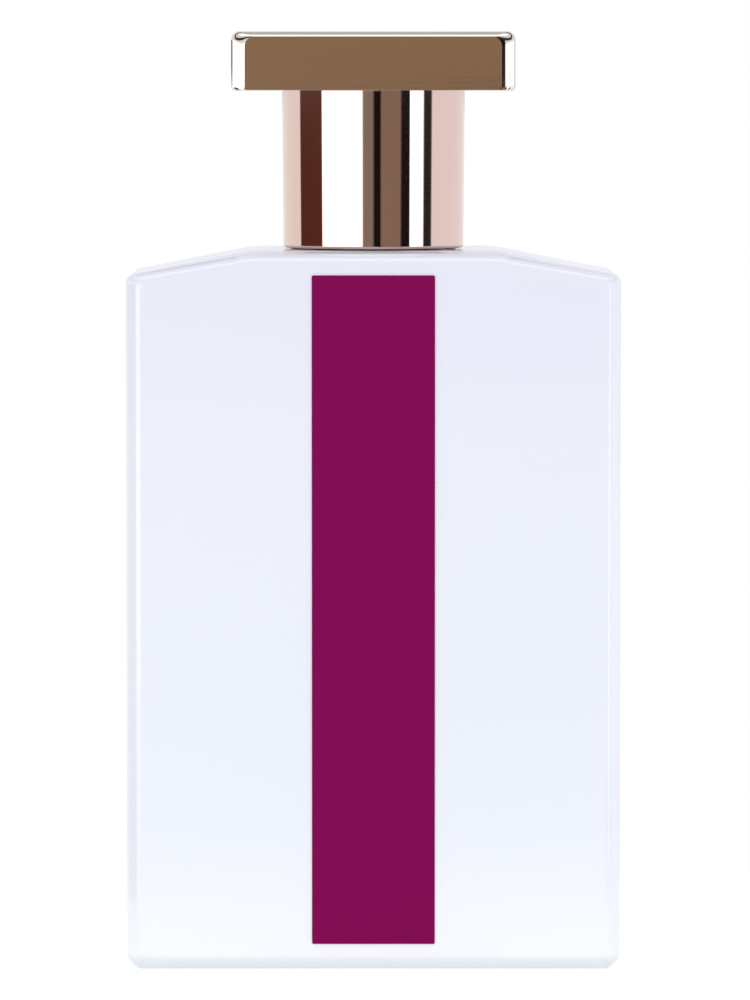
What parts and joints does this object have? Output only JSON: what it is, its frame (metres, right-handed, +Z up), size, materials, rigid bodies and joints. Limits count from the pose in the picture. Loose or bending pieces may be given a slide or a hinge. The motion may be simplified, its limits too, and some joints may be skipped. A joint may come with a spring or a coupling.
{
  "type": "perfume spray bottle",
  "caption": "Free-standing opaque glass perfume flacon with sloping shoulders, a plain label stripe, a crimped press-down spray pump and a slab-topped cap that pulls off.",
  "frame": {"origin": "centre of the base, on the surface that the bottle stands on", "axes": "+Z up along the neck and the cap; the labelled front faces -Y; +X is to the right of a person who faces the label"},
  "size_m": [0.062, 0.0312, 0.1178],
  "materials": {
    "white_glass": "polished",
    "magenta_label": "satin",
    "perfume_liquid": "polished",
    "grey_rubber": "matte",
    "bare_aluminium": "satin",
    "rose_gold": "polished",
    "rose_gold_slab": "polished",
    "natural_plastic": "satin",
    "clear_tube": "gloss",
    "steel": "polished"
  },
  "bodies": {
    "flacon": {"bottle": "white_glass", "label_stripe": "magenta_label", "perfume": "perfume_liquid", "neck_gasket": "grey_rubber", "crimp_ferrule": "bare_aluminium", "collar": "rose_gold", "pump_housing": "natural_plastic", "pump_closure": "natural_plastic", "dip_tube": "clear_tube", "ball_valve": "steel", "return_spring": "steel"},
    "plunger": {"poppet": "natural_plastic", "pump_stem": "natural_plastic", "piston": "natural_plastic"},
    "actuator": {"actuator_core": "natural_plastic", "actuator_shell": "rose_gold", "nozzle_insert": "natural_plastic"},
    "cap": {"cap_slab": "rose_gold_slab", "cap_sleeve": "rose_gold", "cap_liner": "natural_plastic", "cap_weight": "steel"}
  },
  "joints": [
    {"name": "pump_press", "type": "slide", "parent": "flacon", "child": "plunger", "axis": [0, 0, -1], "range_m": [0, 0.0035], "stiffness_N_per_m": 1600, "springref_m": -0.004, "deforming": ["return_spring"]},
    {"name": "actuator_swivel", "type": "hinge", "parent": "plunger", "child": "actuator", "pos_m": [0, 0, 0.107], "axis": [0, 0, 1], "continuous": true},
    {"name": "cap_pull", "type": "slide", "parent": "flacon", "child": "cap", "axis": [0, 0, 1], "range_m": [0, 0.032]}
  ]
}
